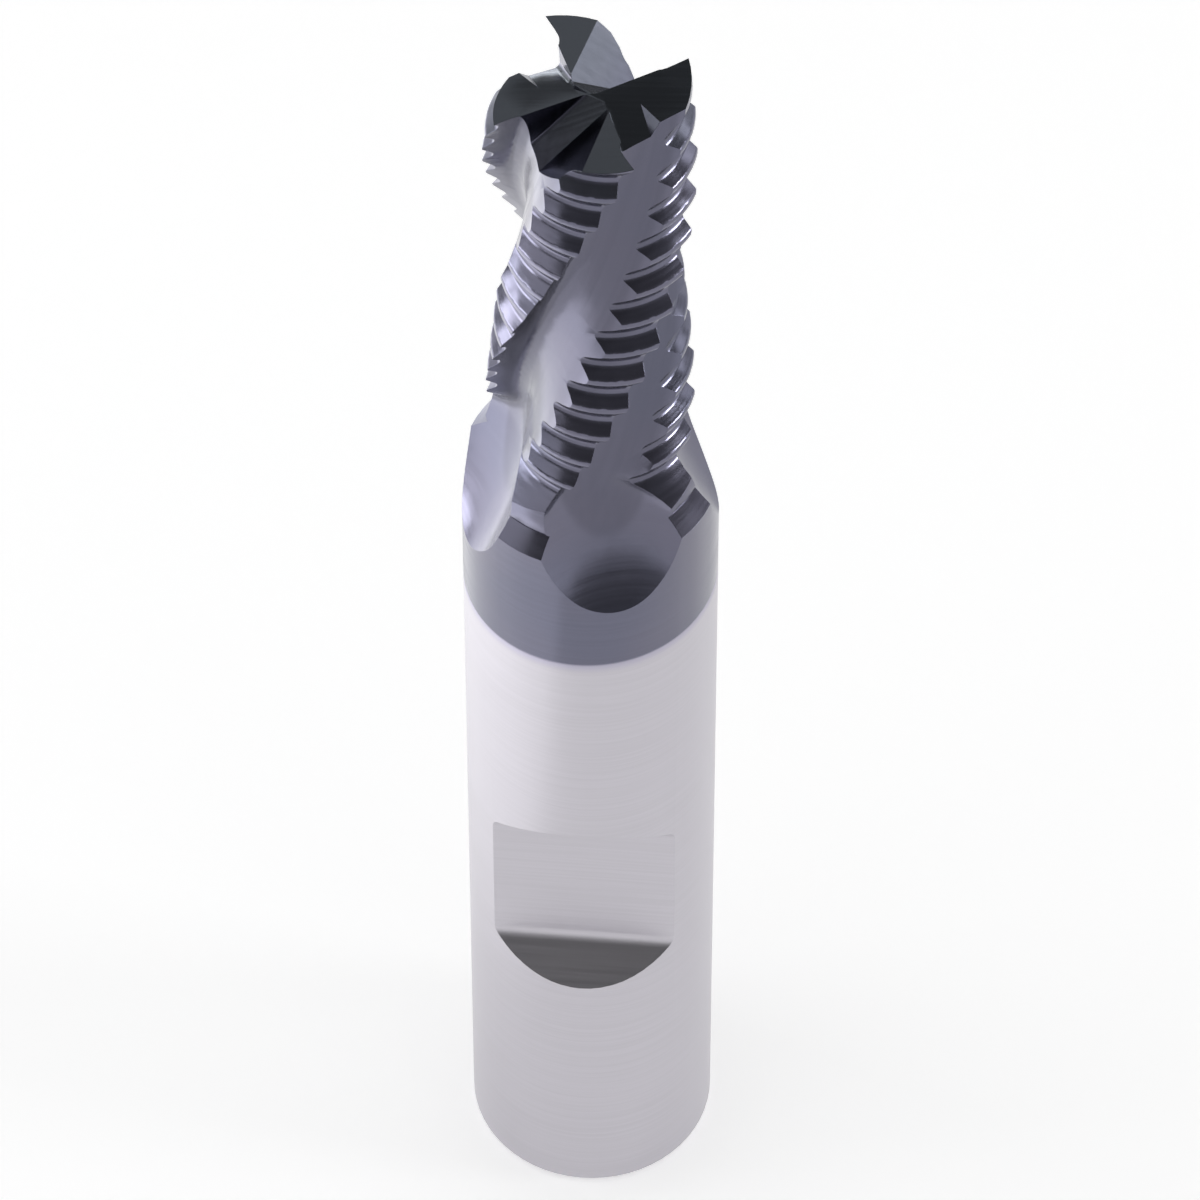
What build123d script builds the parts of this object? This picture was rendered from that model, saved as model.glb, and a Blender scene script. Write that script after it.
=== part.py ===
from build123d import *
from build123d.topology import SkipClean
import os
from math import asin, atan, atan2, ceil, cos, degrees, pi, radians, sin, sqrt, tan

# Whole tool, in millimetres. The shank end sits on Z = 0 and the cutting end points to +Z.
OVERALL_LENGTH = 66.0
SHANK_DIAMETER = 10.0
SHANK_LENGTH = 43.4
SHANK_CHAMFER = 0.4
CUTTER_DIAMETER = 8.0

# Neck: a cone from the shank, a rounded step, then a flaring band up to the ridges.
NECK_CONE_ANGLE = 45.0
BAND_STEP = 0.12
BAND_EDGE_RADIUS = 0.3
BAND_FLARE = 0.35
BAND_LENGTH = 1.9
BAND_OVER_CUTTER = 0.05

# Helix and teeth. Angles run from +X, and a tooth's angle is that of its corner.
TOOTH_COUNT = 4
HELIX_LEAD = 55.0
FIRST_TOOTH_ANGLE = -66.0
LAND_ANGLE = 32.0
RELIEF_DROP = 0.42

# Knuckle ridges of the roughing profile, staggered from tooth to tooth.
RIDGE_PITCH = 1.545
CREST_RADIUS = 0.30
ROOT_RADIUS = 0.43
RIDGE_FLANK_ANGLE = 40.0
CREST_FLAT_DEPTH = 0.015
LAST_RIDGE_FROM_SHANK = 4.05
RIDGE_STAGGER = 0.40
TIP_LAND = 0.3

# Flutes, and the scoop in which each one runs out on the shank.
RAKE_ANGLE = 4.0
CORE_DIAMETER = 4.7
FLUTE_ROOT_RADIUS = 0.8
RUN_OUT_ON_SHANK = 3.0
RUN_OUT_LENGTH = 7.6
SCOOP_RIM_RADIUS = 4.6
SCOOP_LAG = 15.0
SCOOP_BLEND_FROM = 0.8
SCOOP_BLEND_TO = 3.6

# Cutting end: relief behind each end edge and dish towards the centre.
END_RELIEF_ANGLE = 6.0
END_DISH_ANGLE = 1.5

# Gashes. Two long teeth meet at the centre and two short ones stop before it.
GASH_ROOT_RADIUS = 0.25
LONG_GASH = {"slope": 38.0, "start": 0.11, "skew": -1.0, "fall": 22.0, "floor": 0.95, "back": 35.0}
SHORT_GASH = {"slope": 28.0, "start": 0.6, "skew": 5.0, "fall": -5.0, "floor": 1.3, "back": 45.0}

# Clamping flat of the shank.
FLAT_LENGTH = 7.6
FLAT_CENTRE = 20.0
FLAT_HEIGHT = 8.4
FLAT_WALL_ANGLE = 45.0
FLAT_CORNER_RADIUS = 0.8
FLAT_TURN = -95.0

# Sizes that follow from the ones above.
SHANK_RADIUS = SHANK_DIAMETER / 2
CUTTER_RADIUS = CUTTER_DIAMETER / 2
CORE_RADIUS = CORE_DIAMETER / 2
TOOTH_SPACING = 360 / TOOTH_COUNT
TURN_PER_MM = 360 / HELIX_LEAD
LIFT_Z = SHANK_LENGTH - RUN_OUT_ON_SHANK + RUN_OUT_LENGTH
LAST_GROOVE_Z = SHANK_LENGTH + LAST_RIDGE_FROM_SHANK - RIDGE_PITCH / 2
CLEAR = 1.0
CLEAR_RADIUS = SHANK_RADIUS + CLEAR

# Form tools reach this far ahead of the edge and behind it, seen from the land's centre.
TOOL_AHEAD = 9.0
TOOL_BEHIND = -77.0

# The flute tool reaches this far out past the heel of the tooth ahead.
WALL_REACH = 2.5


def polar(radius, angle, z=0.0):
    """Point at a radius and an angle in degrees."""
    return Vector(radius * cos(radians(angle)), radius * sin(radians(angle)), z)


def edge_angle(z):
    """Angle of the first tooth's cutting edge at a height: a right-hand helix."""
    return FIRST_TOOTH_ANGLE - (OVERALL_LENGTH - z) * TURN_PER_MM


def on_tooth(tool, index, shift=0.0):
    """Copy of the first tooth's tool on another tooth, moved along the helix."""
    turn = index * TOOTH_SPACING + shift * TURN_PER_MM
    return Pos(0, 0, shift) * (Rot(0, 0, turn) * tool)


def blank():
    """Ground round blank: chamfered shank, neck cone, step, band and cutting length.
    The shank's wall is in two lengths, which meet at the height of the clamping screw."""
    band_start = CUTTER_RADIUS + BAND_OVER_CUTTER
    band_end = band_start + BAND_FLARE
    cone_end = band_end - BAND_STEP
    cone_z = SHANK_LENGTH + (SHANK_RADIUS - cone_end) / tan(radians(NECK_CONE_ANGLE))
    inset = BAND_EDGE_RADIUS - BAND_STEP
    rise = sqrt(BAND_EDGE_RADIUS**2 - inset**2)
    centre = Vector(band_end - BAND_EDGE_RADIUS, cone_z + rise)
    middle = centre + polar(BAND_EDGE_RADIUS, degrees(atan2(-rise, inset)) / 2)
    lower = Polyline(
        (0, 0),
        (SHANK_RADIUS - SHANK_CHAMFER, 0),
        (SHANK_RADIUS, SHANK_CHAMFER),
        (SHANK_RADIUS, FLAT_CENTRE),
        (SHANK_RADIUS, SHANK_LENGTH),
        (cone_end, cone_z),
    )
    rounding = ThreePointArc(lower @ 1, middle, (band_end, cone_z + rise))
    upper = Polyline(
        rounding @ 1,
        (band_start, cone_z + BAND_LENGTH),
        (band_start, OVERALL_LENGTH),
        (0, OVERALL_LENGTH),
        (0, 0),
    )
    outline = make_face([lower, rounding, upper])
    return revolve(Plane.XZ * outline, Axis.Z, clean=False)


def flute_wall():
    """Flute wall in a cross-section whose cutting edge lies on +X: straight rake face,
    round root tangent to the core, straight wall up to the heel of the tooth ahead."""
    edge = Vector(CUTTER_RADIUS, 0)
    along = polar(1, RAKE_ANGLE)
    above = edge + polar(FLUTE_ROOT_RADIUS, RAKE_ANGLE + 90)
    half = above.dot(along)
    orbit = CORE_RADIUS + FLUTE_ROOT_RADIUS
    reach = half - sqrt(half**2 - above.dot(above) + orbit**2)
    centre = above - along * reach
    rake_end = edge - along * reach
    heel = polar(CUTTER_RADIUS - RELIEF_DROP, TOOTH_SPACING - LAND_ANGLE)
    sight = centre - heel
    bearing = degrees(atan2(sight.Y, sight.X) - asin(FLUTE_ROOT_RADIUS / sight.length))
    wall = polar(sqrt(sight.length**2 - FLUTE_ROOT_RADIUS**2), bearing)
    first = rake_end - centre
    last = heel + wall - centre
    sweep = degrees(atan2(last.Y, last.X) - atan2(first.Y, first.X)) % 360 - 360
    root = [centre + first.rotate(Axis.Z, sweep * share) for share in (0.25, 0.5, 0.75)]
    beyond = edge + along * (CLEAR_RADIUS - CUTTER_RADIUS)
    return [
        beyond,
        edge,
        (edge + rake_end) / 2,
        rake_end,
        *root,
        heel + wall,
        heel + wall / 2,
        heel,
        heel - wall.normalized() * WALL_REACH,
    ]


def scoop_wall(floor_radius, count):
    """Run-out scoop in a cross-section, opening along +X: the round rim of a wheel."""
    centre = Vector(floor_radius + SCOOP_RIM_RADIUS, 0)
    turns = [105 + 150 * i / (count - 1) for i in range(count)]
    return [centre + polar(SCOOP_RIM_RADIUS, -turn) for turn in turns]


def flute_cutter():
    """Solid that clears the first tooth's flute: helical from the tip down, then lifting
    out of the work along an arc while its section opens into the run-out scoop."""
    depth = SHANK_RADIUS - CORE_RADIUS
    lift_radius = (RUN_OUT_LENGTH**2 + depth**2) / (2 * depth)
    scoop_angle = edge_angle(LIFT_Z) + SCOOP_LAG
    flute = flute_wall()
    top = OVERALL_LENGTH + CLEAR
    bottom = LIFT_Z - RUN_OUT_LENGTH - CLEAR / 2
    heights = [top + (LIFT_Z - top) * i / 7 for i in range(7)]
    heights += [LIFT_Z + (bottom - LIFT_Z) * i / 9 for i in range(10)]
    sections = []
    for z in heights:
        below = max(0.0, LIFT_Z - z)
        lift = lift_radius - sqrt(lift_radius**2 - below**2)
        share = (below - SCOOP_BLEND_FROM) / (SCOOP_BLEND_TO - SCOOP_BLEND_FROM)
        share = min(1.0, max(0.0, share))
        share = share**2 * (3 - 2 * share)
        scoop = scoop_wall(CORE_RADIUS + lift, len(flute))
        points = []
        for a, b in zip(flute, scoop):
            a = a.rotate(Axis.Z, edge_angle(z)) + polar(lift, scoop_angle)
            b = b.rotate(Axis.Z, scoop_angle)
            points.append(a * (1 - share) + b * share + Vector(0, 0, z))
        apex = polar(2 * SHANK_RADIUS, edge_angle(max(z, LIFT_Z)) + 30, z)
        sections.append(
            Wire([Spline(*points), Line(points[-1], apex), Line(apex, points[0])])
        )
    return Solid.make_loft(sections)


def land_arc():
    """Arc of the first tooth's relieved land when its edge lies on +X: through the edge,
    the middle of the land and the heel, each lower than the one before."""
    return ThreePointArc(
        *[
            polar(CUTTER_RADIUS - RELIEF_DROP * share, -LAND_ANGLE * share)
            for share in (0, 0.5, 1)
        ]
    )


def relief_cutter():
    """Solid outside the first tooth's relieved land, from the last groove past the tip."""
    arc = land_arc()
    turns = (TOOL_BEHIND, TOOL_BEHIND / 2, TOOL_AHEAD)
    inner = ThreePointArc(*[arc.arc_center + polar(arc.radius, turn) for turn in turns])
    outer = ThreePointArc(
        *[arc.arc_center + polar(CLEAR_RADIUS, turn) for turn in reversed(turns)]
    )
    outline = Wire([inner, Line(inner @ 1, outer @ 0), outer, Line(outer @ 1, inner @ 0)])
    bottom = LAST_GROOVE_Z + RIDGE_PITCH / 4
    height = OVERALL_LENGTH + CLEAR + TOOTH_COUNT * RIDGE_STAGGER - bottom
    sections = []
    for i in range(10):
        z = bottom + height * i / 9
        sections.append(Pos(0, 0, z) * (Rot(0, 0, edge_angle(z)) * outline))
    return Solid.make_loft(sections)


def groove_cutter(beside_shank):
    """Ring segment of one groove on the first tooth, turned about the centre of the
    land's arc: half crests, straight flanks and a round root. The groove beside the
    shank has its tip-facing flank run straight out of the blank instead."""
    arc = land_arc()
    tilt = atan(RELIEF_DROP / LAND_ANGLE * TURN_PER_MM)
    slope = radians(RIDGE_FLANK_ANGLE)
    half = RIDGE_PITCH / 2 / cos(tilt)
    flank = half - (CREST_RADIUS + ROOT_RADIUS) * sin(slope)
    crest_end = -CREST_RADIUS * (1 - cos(slope))
    root_end = crest_end - flank * tan(slope)
    root = Vector(root_end - ROOT_RADIUS * (1 - cos(slope)), 0)
    upper = [
        Vector(0, half),
        Vector(-CREST_RADIUS * (1 - cos(slope / 2)), half - CREST_RADIUS * sin(slope / 2)),
        Vector(crest_end, half - CREST_RADIUS * sin(slope)),
        Vector(root_end, ROOT_RADIUS * sin(slope)),
    ]
    lower = [Vector(point.X, -point.Y) for point in upper]
    out = CLEAR_RADIUS - CUTTER_RADIUS
    if beside_shank:
        lower[2] = lower[3] + Vector(out, -out / tan(slope))
    base = Vector(arc.radius + CREST_FLAT_DEPTH, 0)
    upper = [base + point.rotate(Axis.Z, degrees(tilt)) for point in upper]
    lower = [base + point.rotate(Axis.Z, degrees(tilt)) for point in lower]
    root = base + root.rotate(Axis.Z, degrees(tilt))
    edges = [
        ThreePointArc(upper[0], upper[1], upper[2]),
        Line(upper[2], upper[3]),
        ThreePointArc(upper[3], root, lower[3]),
        Line(lower[3], lower[2]),
    ]
    end = lower[2]
    if not beside_shank:
        edges.append(ThreePointArc(lower[2], lower[1], lower[0]))
        end = lower[0]
    far = CLEAR_RADIUS + CLEAR
    edges.append(Polyline(end, (far, end.Y), (far, upper[0].Y), upper[0]))
    ring = revolve(Plane.XZ * make_face(edges), Axis.Z, TOOL_AHEAD - TOOL_BEHIND)
    ring = Pos(*arc.arc_center) * (Rot(0, 0, TOOL_BEHIND) * ring)
    return Pos(0, 0, LAST_GROOVE_Z) * (Rot(0, 0, edge_angle(LAST_GROOVE_Z)) * ring)


def ridge_tools():
    """Groove cutters for every tooth, one pitch apart along the helix up to the tip."""
    last = groove_cutter(True)
    groove = groove_cutter(False)
    tools = []
    for index in range(TOOTH_COUNT):
        shift = -index * RIDGE_STAGGER
        tools.append(on_tooth(last, index, shift))
        room = OVERALL_LENGTH - TIP_LAND - LAST_GROOVE_Z - shift
        for step in range(1, ceil(room / RIDGE_PITCH)):
            tools.append(on_tooth(groove, index, shift + step * RIDGE_PITCH))
    return tools


def gash_shape(index):
    """Gash of a tooth: the first tooth is short, and long and short ones alternate."""
    return LONG_GASH if index % 2 else SHORT_GASH


def end_relief_cutter(index):
    """Solid above one tooth's end face, between its end edge and the next tooth's."""
    far = 2 * CUTTER_RADIUS
    fronts = []
    for tooth in (index, index - 1):
        shape = gash_shape(tooth)
        lean = tan(radians(shape["skew"] + 1))
        bend = shape["start"]
        front = [
            Vector(bend, (CUTTER_RADIUS - bend) * lean),
            Vector(far, (CUTTER_RADIUS - far) * lean),
        ]
        fronts.append([p.rotate(Axis.Z, (tooth - index) * TOOTH_SPACING) for p in front])
    outline = Polyline((0, 0), *fronts[0], (far, -far), *reversed(fronts[1]), (0, 0))
    block = extrude(Pos(0, 0, OVERALL_LENGTH - CLEAR) * make_face(outline), 2 * CLEAR)
    along = Vector(1, 0, tan(radians(END_DISH_ANGLE)))
    behind = Vector(0, -1, -tan(radians(END_RELIEF_ANGLE)))
    corner = Vector(CUTTER_RADIUS, 0, OVERALL_LENGTH)
    face = Plane(origin=corner, z_dir=behind.cross(along))
    block = split(block, bisect_by=face, keep=Keep.TOP)
    return Rot(0, 0, FIRST_TOOTH_ANGLE + index * TOOTH_SPACING) * block


def gash_cutter(index):
    """Solid of one gash: a steep wall under the end edge, a floor and a back wall that
    rises to the tooth ahead, all running down and outwards into the flute."""
    shape = gash_shape(index)
    before = 2.0
    start = shape["start"] - before
    fall = tan(radians(shape["slope"]))
    height = 2 * CUTTER_RADIUS
    dish = (CUTTER_RADIUS - shape["start"]) * tan(radians(END_DISH_ANGLE))
    root_z = OVERALL_LENGTH - dish + before * fall
    floor_z = root_z - shape["floor"] * tan(radians(shape["fall"]))
    back = height / tan(radians(shape["back"]))
    section = make_face(
        Polyline(
            (0, root_z),
            (shape["floor"], floor_z),
            (shape["floor"] + back, floor_z + height),
            (0, floor_z + height),
            (0, root_z),
        )
    )
    corner = section.vertices().sort_by_distance((0, root_z))[0]
    section = Plane.YZ.offset(start) * fillet(corner, GASH_ROOT_RADIUS)
    gash = extrude(section, 3 * CUTTER_RADIUS, dir=(1, 0, -fall))
    pivot = Pos(CUTTER_RADIUS, 0, 0)
    gash = pivot * (Rot(0, 0, -shape["skew"]) * (pivot.inverse() * gash))
    return Rot(0, 0, FIRST_TOOTH_ANGLE + index * TOOTH_SPACING) * gash


def flat_cutter():
    """Clamping flat milled across the shank, with sloping end walls and soft corners."""
    depth_radius = FLAT_HEIGHT - SHANK_RADIUS
    half = FLAT_LENGTH / 2
    out = CLEAR_RADIUS - depth_radius
    spread = half + out / tan(radians(FLAT_WALL_ANGLE))
    outline = Polyline(
        (depth_radius, -half),
        (depth_radius, half),
        (CLEAR_RADIUS, spread),
        (CLEAR_RADIUS, -spread),
        (depth_radius, -half),
    )
    section = make_face(outline)
    corners = section.vertices().sort_by(Axis.X)[:2]
    section = Plane.XZ * fillet(corners, FLAT_CORNER_RADIUS)
    tool = extrude(section, CLEAR_RADIUS, both=True)
    return Pos(0, 0, FLAT_CENTRE) * (Rot(0, 0, FLAT_TURN) * tool)


def end_mill():
    """The whole tool: one solid of carbide, ground from a round blank."""
    teeth = range(TOOTH_COUNT)
    flute = flute_cutter()
    relief = relief_cutter()
    with SkipClean():
        body = blank().cut(flat_cutter())
        body = body.cut(*[on_tooth(flute, i) for i in teeth])
        body = body.cut(*[end_relief_cutter(i) for i in teeth])
        body = body.cut(*[gash_cutter(i) for i in teeth])
        body = body.cut(*[on_tooth(relief, i, -i * RIDGE_STAGGER) for i in teeth])
        return body.cut(*ridge_tools())


def main():
    """Builds the tool and writes its one STEP file."""
    os.makedirs("parts", exist_ok=True)
    export_step(end_mill(), "parts/roughing_end_mill.step")


main()
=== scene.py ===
import math

import bpy
import numpy as np
from mathutils import Matrix, Vector

bl_info = {
    "name": "Roughing End Mill",
    "version": (1, 0, 0),
    "blender": (4, 5, 0),
    "location": "View3D > Sidebar > End Mill",
    "description": "Finishes a coated carbide roughing end mill and its studio stage",
    "category": "Object",
}

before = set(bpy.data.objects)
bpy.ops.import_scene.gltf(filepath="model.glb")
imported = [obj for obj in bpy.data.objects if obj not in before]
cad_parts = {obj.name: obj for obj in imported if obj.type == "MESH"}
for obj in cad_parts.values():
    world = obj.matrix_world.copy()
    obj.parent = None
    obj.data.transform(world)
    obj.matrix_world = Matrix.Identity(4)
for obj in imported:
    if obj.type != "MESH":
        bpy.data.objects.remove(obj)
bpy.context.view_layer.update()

MM = 0.001
NODE = "roughing_end_mill"

# Camera of the photograph: a long lens that looks down on the standing tool.
PHOTO_SIZE = 1200
FOCAL_PIXELS = 9373.1
SENSOR_WIDTH = 36.0
CAMERA_DISTANCE = 369.385 * MM
CAMERA_ELEVATION = math.radians(53.631)
CAMERA_ROLL = math.radians(-0.0714)
CAMERA_AIM = Vector((0.364 * MM, 0.0, 34.582 * MM))
CAMERA_CLIP = (0.01, 20.0)

# Where the hard coating ends on the shank, how far its edge leans for each unit across
# the tool, and how wide it blurs. Just below the edge the coating thins out to a fringe.
COATING_EDGE_Z = 37.06 * MM
COATING_EDGE_LEAN = 0.034
COATING_EDGE_BLUR = 0.1 * MM
COATING_FRINGE = 0.6 * MM

# The coating's hue drifts over patches of this size, between these levels of a noise
# with this many finer layers.
COATING_DRIFT = 6.0 * MM
COATING_DRIFT_LEVELS = (0.35, 0.65)
COATING_DRIFT_LAYERS = 2.0

# Satin shine: the coating is smoother than the ground carbide, and marks vary both.
COATING_ROUGHNESS = 0.21
CARBIDE_ROUGHNESS = 0.36
MARK_ROUGHNESS = 0.04

# Marks of the grinding wheel, as how far one reaches along X, Y and Z. Real ones are a
# few hundredths of a millimetre apart, too fine to show, so they are drawn coarser. Rings
# run round the shank and the ridges, long marks along the flutes, and straight ones
# across the end faces.
RING_MARK = (8.0 * MM, 8.0 * MM, 0.12 * MM)
FLUTE_MARK = (0.25 * MM, 0.25 * MM, 20.0 * MM)
END_MARK = (6.0 * MM, 0.1 * MM, 6.0 * MM)
RING_MARK_DEPTH = 0.0003 * MM
FLUTE_MARK_DEPTH = 0.0012 * MM

# Noise that draws the marks: how many finer layers it has and how strong each one is,
# the levels between which a mark rises, and the tone of the lowest ones.
MARK_LAYERS = 3.0
MARK_LAYER_STRENGTH = 0.6
MARK_LEVELS = (0.3, 0.7)
MARK_SHADE = 0.93

# The flutes: their lead, and the radius from the tool's axis where their walls end.
HELIX_LEAD = 55.0 * MM
FLUTE_RIM = (3.2 * MM, 3.5 * MM)
FLUTE_START = 1.0 * MM

# The end faces and gashes: how high they lie, and how far up they face.
END_HEIGHT = (63.2 * MM, 65.6 * MM)
END_FACING = (0.55, 0.8)

# Every cutting edge is honed, which gives it a thin line of light. A real hone is finer,
# and is drawn wide enough to show.
EDGE_HONE = 0.03 * MM
EDGE_HONE_SAMPLES = 4

# Facets closer than this angle are shaded as one ground surface, once points nearer
# than the weld are joined.
GROUND_FACE_ANGLE = math.radians(28)
WELD = 0.0005 * MM

# The sheet of paper and how it glows to the eye and in the metal: near the tool, where
# its shadow lies, and further out, in rings round the tool.
FLOOR_SIZE = 2.0
PAPER_ROUGHNESS = 0.9
PAPER_GLOW_NEAR = 0.44
PAPER_GLOW_FAR = 0.95
PAPER_GLOW_RINGS = (0.35, 0.65)

# Light of the room by the sine of the height above the horizon: grey walls that darken
# towards the ceiling, and a pale strip added along the horizon.
WALL_RISE = (-0.1, 0.9)
WALL_LIGHT = (0.26, 0.1)
HORIZON_RISE = (0.01, 0.045)
HORIZON_LIGHT = 0.5

# Soft lamps, as name, place, the point each one faces, width and height in metres,
# watts, and whether the metal mirrors it.
LAMPS = (
    # Low at both sides: a thin line of light along each ridge.
    ("left_softbox", (-0.6, 0.06, 0.09), (0, 0, 0.05), (0.4, 0.2), 1.4, True),
    ("right_softbox", (0.55, -0.07, 0.1), (0, 0, 0.06), (0.14, 0.09), 0.9, True),
    # Above: even light on the paper, which keeps the tool's soft shadow.
    ("ceiling", (0, 0, 0.8), (0, 0.001, 0), (1.0, 1.0), 3.1, False),
    # Behind and above: a dim shine on the end faces.
    ("back_softbox", (0.0, 0.4, 0.47), (0, 0, 0.06), (0.6, 0.2), 0.13, True),
    # On the floor at the left: the bright left side of the neck and its run-out.
    ("near_panel", (-0.086, 0.03, 0.0005), (-0.086, 0.03, 1), (0.14, 0.16), 0.022, True),
    ("far_panel", (-0.14, 0.06, 0.001), (-0.14, 0.06, 1), (0.2, 0.2), 0.15, True),
    # Dim panels that the groove flanks at the left and the gash walls mirror.
    ("left_panel", (-0.527, -0.151, 0.306), (0, 0, 0.062), (0.46, 0.15), 0.21, True),
    ("right_panel", (0.55, 0.22, 0.16), (0, 0, 0.065), (0.2, 0.1), 0.12, True),
    ("rear_panel", (-0.11, 0.59, 0.04), (0, 0, 0.065), (0.2, 0.06), 0.16, True),
)

# Settings and socket numbers of the nodes used below. The Mix node's colour sockets
# share their names with its other ones, so they go by number.
SMOOTH_STEP = {"interpolation_type": "SMOOTHSTEP"}
ADD = {"operation": "ADD"}
TIMES = {"operation": "MULTIPLY"}
LARGER = {"operation": "MAXIMUM"}
BLEND_COLOURS = {"data_type": "RGBA"}
TINT_COLOUR = {"data_type": "RGBA", "blend_type": "MULTIPLY"}
COLOUR_A, COLOUR_B, COLOUR_RESULT = 6, 7, 2


def linear(hex_colour):
    """Linear RGBA of an sRGB hex colour."""
    channels = [int(hex_colour[i : i + 2], 16) / 255 for i in (1, 3, 5)]
    return [
        c / 12.92 if c <= 0.04045 else ((c + 0.055) / 1.055) ** 2.4 for c in channels
    ] + [1.0]


def add_node(tree, kind, settings=None, inputs=None):
    """Adds a node with its settings, and sets or links its inputs by name or number.
    A node given as an input is linked from its first output."""
    node = tree.nodes.new(kind)
    for name, value in (settings or {}).items():
        setattr(node, name, value)
    for key, value in (inputs or {}).items():
        if isinstance(value, bpy.types.Node):
            value = value.outputs[0]
        if isinstance(value, bpy.types.NodeSocket):
            tree.links.new(value, node.inputs[key])
        else:
            node.inputs[key].default_value = value
    return node


def smooth_step(value, limits, first, last):
    """Inputs of a Map Range node that goes from first to last between two limits."""
    return {
        "Value": value, "From Min": limits[0], "From Max": limits[1], "To Min": first, "To Max": last,
    }


class EndMillFinish(bpy.types.PropertyGroup):
    """Colours and surface of the tool"""

    coating: bpy.props.StringProperty(
        name="Coating", description="sRGB hex colour of the hard coating", default="#6E6D7D"
    )
    coating_drift: bpy.props.StringProperty(
        name="Coating drift", description="sRGB hex colour where the coating is thicker",
        default="#6A6B7C",
    )
    # Painted shade: a grey that darkens the coating in the flutes, where shade falls between the
    # teeth.
    flute_painted_shade: bpy.props.StringProperty(
        name="Flute shade", description="sRGB hex colour that tints the coating in the flutes",
        default="#E9E9E9",
    )
    end_coating: bpy.props.StringProperty(
        name="End coating", description="sRGB hex colour of the coating on the end faces",
        default="#686D75",
    )
    fringe: bpy.props.StringProperty(
        name="Fringe", description="sRGB hex colour where the coating thins out", default="#B4B0C2"
    )
    carbide: bpy.props.StringProperty(
        name="Carbide", description="sRGB hex colour of the bare ground carbide", default="#C6C3CA"
    )
    coating_roughness: bpy.props.FloatProperty(
        name="Coating roughness", description="Roughness of the coated surface",
        default=COATING_ROUGHNESS, min=0, max=1, subtype="FACTOR",
    )
    carbide_roughness: bpy.props.FloatProperty(
        name="Carbide roughness", description="Roughness of the bare ground surface",
        default=CARBIDE_ROUGHNESS, min=0, max=1, subtype="FACTOR",
    )
    coating_edge: bpy.props.FloatProperty(
        name="Coating edge", description="Height of the coating's lower edge on the shank",
        default=COATING_EDGE_Z, min=0, unit="LENGTH",
    )


class EndMillStage(bpy.types.PropertyGroup):
    """Floor and camera of the studio"""

    floor_size: bpy.props.FloatProperty(
        name="Floor size", description="Side of the square sheet of paper", default=FLOOR_SIZE,
        min=0.1, unit="LENGTH",
    )
    paper: bpy.props.StringProperty(
        name="Paper", description="sRGB hex colour of the sheet of paper", default="#F4F4F4"
    )
    camera_distance: bpy.props.FloatProperty(
        name="Camera distance", description="From the camera to the point it looks at",
        default=CAMERA_DISTANCE, min=0.1, unit="LENGTH",
    )
    camera_elevation: bpy.props.FloatProperty(
        name="Camera elevation", description="How far the camera looks down",
        default=CAMERA_ELEVATION, unit="ROTATION", subtype="ANGLE",
    )


def new_material(name):
    """Empty node material and its node tree."""
    material = bpy.data.materials.new(name)
    material.use_nodes = True
    material.node_tree.nodes.clear()
    return material, material.node_tree


def coating_masks(tree, place, edge):
    """Where the coating lies, and where it thins out below its edge. The height is
    measured from a plane that leans with the edge: Z less X times the lean."""
    parts = add_node(tree, "ShaderNodeSeparateXYZ", None, {"Vector": place}).outputs
    lean = add_node(tree, "ShaderNodeMath", TIMES, {0: parts["X"], 1: -COATING_EDGE_LEAN})
    height = add_node(tree, "ShaderNodeMath", ADD, {0: parts["Z"], 1: lean})
    blur = (edge - COATING_EDGE_BLUR, edge + COATING_EDGE_BLUR)
    thin = (edge - COATING_FRINGE, edge)
    coated = add_node(tree, "ShaderNodeMapRange", SMOOTH_STEP, smooth_step(height, blur, 0.0, 1.0))
    fringe = add_node(tree, "ShaderNodeMapRange", SMOOTH_STEP, smooth_step(height, thin, 0.0, 1.0))
    return coated, fringe


def end_mask(tree, coordinates):
    """The end faces and gashes: high on the tool, and facing up."""
    height = add_node(tree, "ShaderNodeSeparateXYZ", None, {"Vector": coordinates["Object"]})
    facing = add_node(tree, "ShaderNodeSeparateXYZ", None, {"Vector": coordinates["Normal"]})
    high = add_node(
        tree, "ShaderNodeMapRange", SMOOTH_STEP,
        smooth_step(height.outputs["Z"], END_HEIGHT, 0.0, 1.0),
    )
    up = add_node(
        tree, "ShaderNodeMapRange", SMOOTH_STEP,
        smooth_step(facing.outputs["Z"], END_FACING, 0.0, 1.0),
    )
    return add_node(tree, "ShaderNodeMath", TIMES, {0: high, 1: up})


def flute_mask(tree, place, edge):
    """The flutes: above the coating's edge, and nearer to the axis than their rim. Here the
    marks run along the tool, and painted shade darkens the coating.
    """
    parts = add_node(tree, "ShaderNodeSeparateXYZ", None, {"Vector": place}).outputs
    level = add_node(tree, "ShaderNodeCombineXYZ", None, {"X": parts["X"], "Y": parts["Y"]})
    radius = add_node(tree, "ShaderNodeVectorMath", {"operation": "LENGTH"}, {0: level})
    within = add_node(
        tree, "ShaderNodeMapRange", SMOOTH_STEP,
        smooth_step(radius.outputs["Value"], FLUTE_RIM, 1.0, 0.0),
    )
    above = add_node(
        tree, "ShaderNodeMapRange", SMOOTH_STEP,
        smooth_step(parts["Z"], (edge, edge + FLUTE_START), 0.0, 1.0),
    )
    return add_node(tree, "ShaderNodeMath", TIMES, {0: within, 1: above})


def wheel_marks(tree, place, reach):
    """Fine marks of the grinding wheel: noise over the place divided by how far a mark
    reaches along each axis."""
    squeezed = add_node(tree, "ShaderNodeVectorMath", {"operation": "DIVIDE"}, {0: place, 1: reach})
    return add_node(
        tree, "ShaderNodeTexNoise", {"normalize": True},
        {"Vector": squeezed, "Scale": 1.0, "Detail": MARK_LAYERS, "Roughness": MARK_LAYER_STRENGTH},
    )


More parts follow.
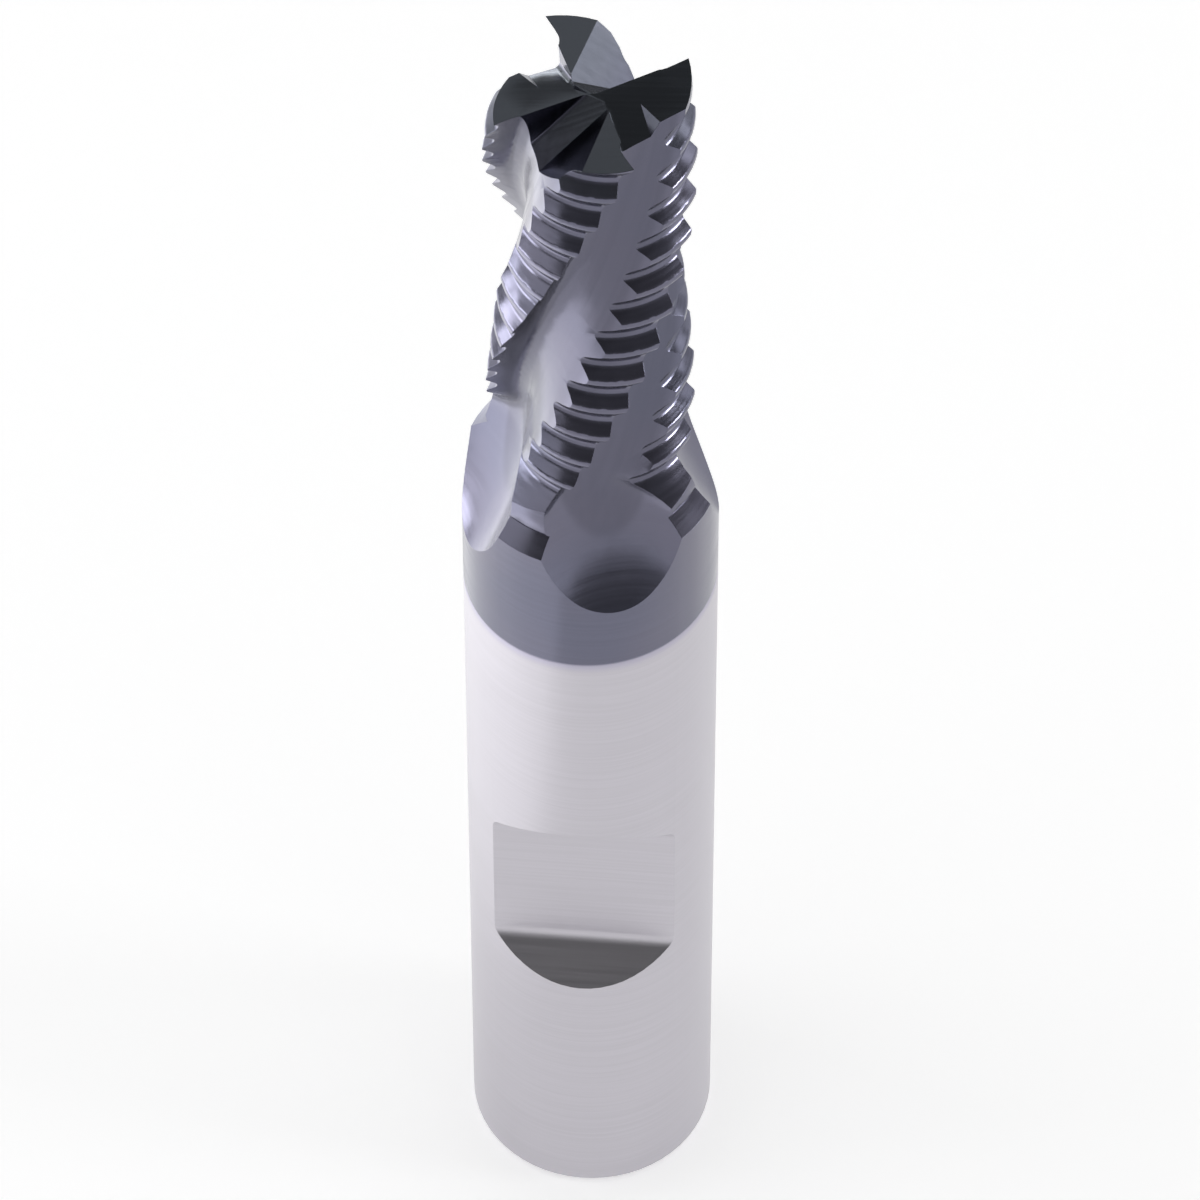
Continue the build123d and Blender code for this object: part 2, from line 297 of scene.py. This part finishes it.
def unwound(tree, place):
    """The place turned back about the axis by one turn for each lead of height, so that
    a helical flute stands upright."""
    height = add_node(tree, "ShaderNodeSeparateXYZ", None, {"Vector": place}).outputs["Z"]
    turn = add_node(tree, "ShaderNodeMath", TIMES, {0: height, 1: -2 * math.pi / HELIX_LEAD})
    return add_node(
        tree, "ShaderNodeVectorRotate", {"rotation_type": "Z_AXIS"}, {"Vector": place, "Angle": turn}
    )


def carbide_material(finish):
    """Fine-grain tungsten carbide, ground all over, with a thin hard coating from the neck
    up. The ground shank gives the eye a pale satin white with hair-fine rings, and the
    coating a darker violet grey that shines more and drifts a little in hue."""
    material, tree = new_material("ground_carbide_hard_coated")
    coordinates = add_node(tree, "ShaderNodeTexCoord").outputs
    place = coordinates["Object"]
    coated, fringe = coating_masks(tree, place, finish.coating_edge)
    end = end_mask(tree, coordinates)
    flute = flute_mask(tree, place, finish.coating_edge)

    rings = wheel_marks(tree, place, RING_MARK)
    along = wheel_marks(tree, unwound(tree, place), FLUTE_MARK)
    across = wheel_marks(tree, place, END_MARK)
    marks = add_node(tree, "ShaderNodeMix", None, {"Factor": flute, "A": rings, "B": along})
    marks = add_node(tree, "ShaderNodeMix", None, {"Factor": end, "A": marks, "B": across})

    # Colour: a slow drift of the coating's thickness, painted shade that darkens the coating
    # in the flutes where shade falls between the teeth, the end's own tone, then the fringe
    # and the bare shank, all under the marks.
    drift = add_node(
        tree, "ShaderNodeTexNoise", None,
        {"Vector": place, "Scale": 1 / COATING_DRIFT, "Detail": COATING_DRIFT_LAYERS},
    )
    drift = add_node(
        tree, "ShaderNodeMapRange", SMOOTH_STEP, smooth_step(drift, COATING_DRIFT_LEVELS, 0.0, 1.0)
    )
    colour = linear(finish.coating)
    for settings, factor, tone in (
        (BLEND_COLOURS, drift, linear(finish.coating_drift)),
        (TINT_COLOUR, flute, linear(finish.flute_painted_shade)),
        (BLEND_COLOURS, end, linear(finish.end_coating)),
    ):
        inputs = {"Factor": factor, COLOUR_A: colour, COLOUR_B: tone}
        colour = add_node(tree, "ShaderNodeMix", settings, inputs).outputs[COLOUR_RESULT]
    bare = add_node(
        tree, "ShaderNodeMix", BLEND_COLOURS,
        {"Factor": fringe, COLOUR_A: linear(finish.carbide), COLOUR_B: linear(finish.fringe)},
    ).outputs[COLOUR_RESULT]
    colour = add_node(
        tree, "ShaderNodeMix", BLEND_COLOURS, {"Factor": coated, COLOUR_A: bare, COLOUR_B: colour}
    ).outputs[COLOUR_RESULT]
    shade = add_node(
        tree, "ShaderNodeMapRange", SMOOTH_STEP, smooth_step(marks, MARK_LEVELS, MARK_SHADE, 1.0)
    )
    colour = add_node(
        tree, "ShaderNodeMix", TINT_COLOUR, {"Factor": 1.0, COLOUR_A: colour, COLOUR_B: shade}
    ).outputs[COLOUR_RESULT]

    # Shine: rougher where a mark is high, smoother where it is low.
    rough = add_node(
        tree, "ShaderNodeMix", None,
        {"Factor": coated, "A": finish.carbide_roughness, "B": finish.coating_roughness},
    )
    worn = add_node(
        tree, "ShaderNodeMapRange", SMOOTH_STEP,
        smooth_step(marks, MARK_LEVELS, -MARK_ROUGHNESS, MARK_ROUGHNESS),
    )
    rough = add_node(tree, "ShaderNodeMath", ADD, {0: rough, 1: worn})

    # Relief: honed edges under the marks, which are deeper in the flutes.
    honed = add_node(
        tree, "ShaderNodeBevel", {"samples": EDGE_HONE_SAMPLES}, {"Radius": EDGE_HONE}
    )
    depth = add_node(
        tree, "ShaderNodeMix", None, {"Factor": flute, "A": RING_MARK_DEPTH, "B": FLUTE_MARK_DEPTH}
    )
    relief = add_node(
        tree, "ShaderNodeBump", None, {"Height": marks, "Distance": depth, "Normal": honed}
    )
    shader = add_node(
        tree, "ShaderNodeBsdfPrincipled", None,
        {"Base Color": colour, "Metallic": 1.0, "Roughness": rough, "Normal": relief},
    )
    add_node(tree, "ShaderNodeOutputMaterial", None, {"Surface": shader})
    return material


class ENDMILL_OT_tool(bpy.types.Operator):
    """Gives the tool its ground and coated carbide finish"""

    bl_idname = "endmill.tool"
    bl_label = "Tool"

    def execute(self, context):
        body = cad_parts[NODE]
        body.data.materials.clear()
        body.data.materials.append(carbide_material(context.scene.endmill_finish))
        body.data.polygons.foreach_set("use_smooth", np.ones(len(body.data.polygons), bool))
        weld = body.modifiers.new("weld", "WELD")
        weld.merge_threshold = WELD
        split = body.modifiers.new("sharp_edges", "EDGE_SPLIT")
        split.split_angle = GROUND_FACE_ANGLE
        return {"FINISHED"}


def floor_material(paper):
    """Matt white paper. It gives the eye an even, shineless white that keeps a shadow, so
    part of its light is a glow that only the camera and reflections see."""
    material, tree = new_material("white_paper")
    rays = add_node(tree, "ShaderNodeLightPath").outputs
    seen = rays["Is Camera Ray"]
    for ray in ("Is Glossy Ray", "Is Transmission Ray"):
        seen = add_node(tree, "ShaderNodeMath", LARGER, {0: seen, 1: rays[ray]})
    place = add_node(tree, "ShaderNodeTexCoord").outputs["Object"]
    radius = add_node(tree, "ShaderNodeVectorMath", {"operation": "LENGTH"}, {0: place})
    level = add_node(
        tree, "ShaderNodeMapRange", SMOOTH_STEP,
        smooth_step(radius.outputs["Value"], PAPER_GLOW_RINGS, PAPER_GLOW_NEAR, PAPER_GLOW_FAR),
    )
    glow = add_node(tree, "ShaderNodeMath", TIMES, {0: seen, 1: level})
    shader = add_node(
        tree, "ShaderNodeBsdfPrincipled", None,
        {
            "Base Color": linear(paper),
            "Roughness": PAPER_ROUGHNESS,
            "Emission Color": linear("#FFFFFF"),
            "Emission Strength": glow,
        },
    )
    add_node(tree, "ShaderNodeOutputMaterial", None, {"Surface": shader})
    return material


def lay_floor(stage):
    """Square sheet of paper that the tool stands on."""
    half = stage.floor_size / 2
    corners = [(-half, -half, 0), (half, -half, 0), (half, half, 0), (-half, half, 0)]
    mesh = bpy.data.meshes.new("floor")
    mesh.from_pydata(corners, [], [(0, 1, 2, 3)])
    mesh.materials.append(floor_material(stage.paper))
    floor = bpy.data.objects.new("floor", mesh)
    bpy.context.scene.collection.objects.link(floor)


def area_lamp(name, place, aim, size, watts, in_mirror):
    """Rectangular soft lamp at a place, turned to the point it faces."""
    data = bpy.data.lights.new(name, "AREA")
    data.shape = "RECTANGLE"
    data.size, data.size_y = size
    data.energy = watts
    lamp = bpy.data.objects.new(name, data)
    lamp.location = place
    lamp.rotation_euler = (Vector(aim) - Vector(place)).to_track_quat("-Z", "Y").to_euler()
    lamp.visible_camera = False
    lamp.visible_glossy = in_mirror
    bpy.context.scene.collection.objects.link(lamp)


def room():
    """Grey studio room that is darker overhead, with a pale strip along the horizon."""
    studio = bpy.data.worlds.new("studio")
    studio.use_nodes = True
    tree = studio.node_tree
    tree.nodes.clear()
    ray = add_node(tree, "ShaderNodeTexCoord").outputs["Generated"]
    rise = add_node(tree, "ShaderNodeSeparateXYZ", None, {"Vector": ray}).outputs["Z"]
    walls = add_node(
        tree, "ShaderNodeMapRange", SMOOTH_STEP, smooth_step(rise, WALL_RISE, *WALL_LIGHT)
    )
    horizon = add_node(
        tree, "ShaderNodeMapRange", SMOOTH_STEP, smooth_step(rise, HORIZON_RISE, HORIZON_LIGHT, 0.0)
    )
    strength = add_node(tree, "ShaderNodeMath", ADD, {0: walls, 1: horizon})
    light = add_node(
        tree, "ShaderNodeBackground", None, {"Color": linear("#FFFFFF"), "Strength": strength}
    )
    add_node(tree, "ShaderNodeOutputWorld", None, {"Surface": light})
    bpy.context.scene.world = studio


def photo_camera(stage):
    """Camera of the photograph, whose back, right and up directions make its turn."""
    elevation = stage.camera_elevation
    back = Vector((0, -math.cos(elevation), math.sin(elevation)))
    right = Vector((1, 0, 0))
    up = back.cross(right)
    turn = Matrix((right, up, back)).transposed() @ Matrix.Rotation(CAMERA_ROLL, 3, "Z")
    data = bpy.data.cameras.new("photo_camera")
    data.sensor_width = SENSOR_WIDTH
    data.lens = FOCAL_PIXELS * SENSOR_WIDTH / PHOTO_SIZE
    data.clip_start, data.clip_end = CAMERA_CLIP
    camera = bpy.data.objects.new("photo_camera", data)
    place = CAMERA_AIM + back * stage.camera_distance
    camera.matrix_world = Matrix.Translation(place) @ turn.to_4x4()
    bpy.context.scene.collection.objects.link(camera)
    bpy.context.scene.camera = camera


class ENDMILL_OT_stage(bpy.types.Operator):
    """Sets up the floor, the soft lamps, the room and the camera of the photograph"""

    bl_idname = "endmill.stage"
    bl_label = "Stage"

    def execute(self, context):
        stage = context.scene.endmill_stage
        lay_floor(stage)
        for lamp in LAMPS:
            area_lamp(*lamp)
        room()
        photo_camera(stage)
        context.scene.view_settings.view_transform = "Standard"
        return {"FINISHED"}


class ENDMILL_PT_panel(bpy.types.Panel):
    """Lists the steps that finish the tool and its stage"""

    bl_idname = "ENDMILL_PT_panel"
    bl_label = "Roughing End Mill"
    bl_space_type = "VIEW_3D"
    bl_region_type = "UI"
    bl_category = "End Mill"

    def draw(self, context):
        for operator in (ENDMILL_OT_tool, ENDMILL_OT_stage):
            self.layout.operator(operator.bl_idname)


CLASSES = (EndMillFinish, EndMillStage, ENDMILL_OT_tool, ENDMILL_OT_stage, ENDMILL_PT_panel)


def register():
    """Makes the classes and the two groups of properties known to Blender."""
    for item in CLASSES:
        bpy.utils.register_class(item)
    bpy.types.Scene.endmill_finish = bpy.props.PointerProperty(type=EndMillFinish)
    bpy.types.Scene.endmill_stage = bpy.props.PointerProperty(type=EndMillStage)


def unregister():
    """Takes back what register did, in reverse order."""
    del bpy.types.Scene.endmill_stage
    del bpy.types.Scene.endmill_finish
    for item in reversed(CLASSES):
        bpy.utils.unregister_class(item)


def main():
    """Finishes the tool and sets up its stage."""
    register()
    bpy.ops.endmill.tool()
    bpy.ops.endmill.stage()


if __name__ == "__main__":
    main()
